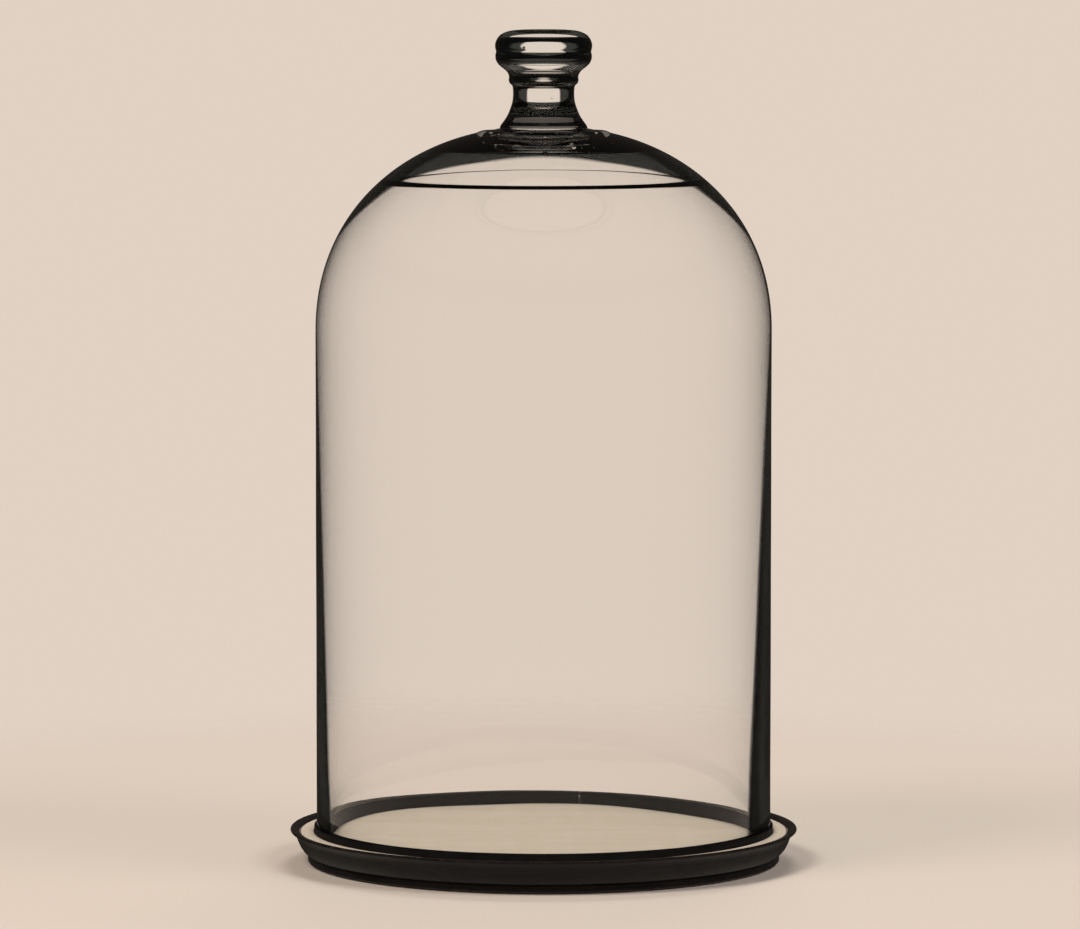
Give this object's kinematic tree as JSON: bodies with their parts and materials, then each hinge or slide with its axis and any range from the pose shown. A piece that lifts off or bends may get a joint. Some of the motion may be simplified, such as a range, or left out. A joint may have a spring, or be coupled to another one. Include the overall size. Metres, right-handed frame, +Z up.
{
  "type": "bell jar dome",
  "caption": "Knobbed clear glass bell jar with a rubber-edged rim, standing in the groove of a low black turned base with a pale maple deck; the dome lifts off.",
  "frame": {"origin": "middle of the baize under the base, on the surface the bell jar stands on", "axes": "+Z up along the axis of the dome, knob and base, which are all round about it"},
  "size_m": [0.2544, 0.2544, 0.417],
  "materials": {
    "clear_glass": "clear polished, blown",
    "black_rubber": "matte",
    "ebonised_wood": "black gloss lacquer",
    "pale_maple": "satin oil",
    "plywood": "raw",
    "zinc_steel": "zinc plated",
    "felt": "wool felt"
  },
  "bodies": {
    "base": {"base_moulding": "ebonised_wood", "core_board": "plywood", "deck_disc": "pale_maple", "deck_border": "pale_maple", "base_baize": "felt", "deck_screw_1": "zinc_steel", "deck_screw_2": "zinc_steel", "deck_screw_3": "zinc_steel", "deck_screw_4": "zinc_steel"},
    "dome": {"dome_glass": "clear_glass", "knob_glass": "clear_glass", "rim_gasket": "black_rubber"}
  },
  "joints": [
    {"name": "dome_lift", "type": "slide", "parent": "base", "child": "dome", "axis": [0, 0, 1], "range_m": [0, 0.36]}
  ]
}
